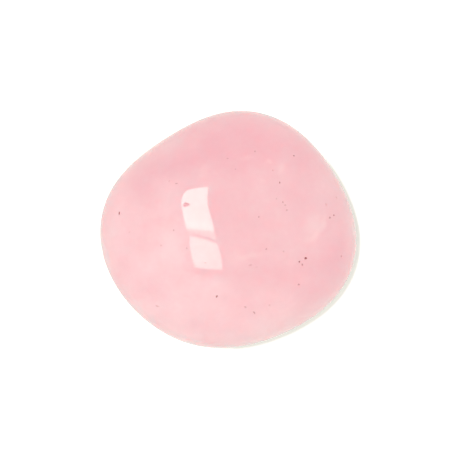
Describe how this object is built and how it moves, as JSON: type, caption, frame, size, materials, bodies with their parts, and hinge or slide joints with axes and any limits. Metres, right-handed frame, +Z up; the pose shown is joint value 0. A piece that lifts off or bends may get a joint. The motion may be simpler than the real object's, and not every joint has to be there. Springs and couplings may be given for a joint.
{
  "type": "rose quartz palm stone",
  "caption": "Plump, rounded rose quartz pebble, tumbled and polished, with a small flat spot to rest on, sized to lie in the palm of a hand.",
  "frame": {"origin": "on the surface that the stone rests on, below the middle of its outline", "axes": "+Z up through the stone's thickness, +X along its greatest width, +Y across"},
  "size_m": [0.054, 0.05, 0.0271],
  "materials": {
    "polished_rose_quartz": "tumbled and polished, cloudy pale pink, with small dark pits"
  },
  "bodies": {
    "root": {"palm_stone": "polished_rose_quartz"}
  },
  "joints": []
}
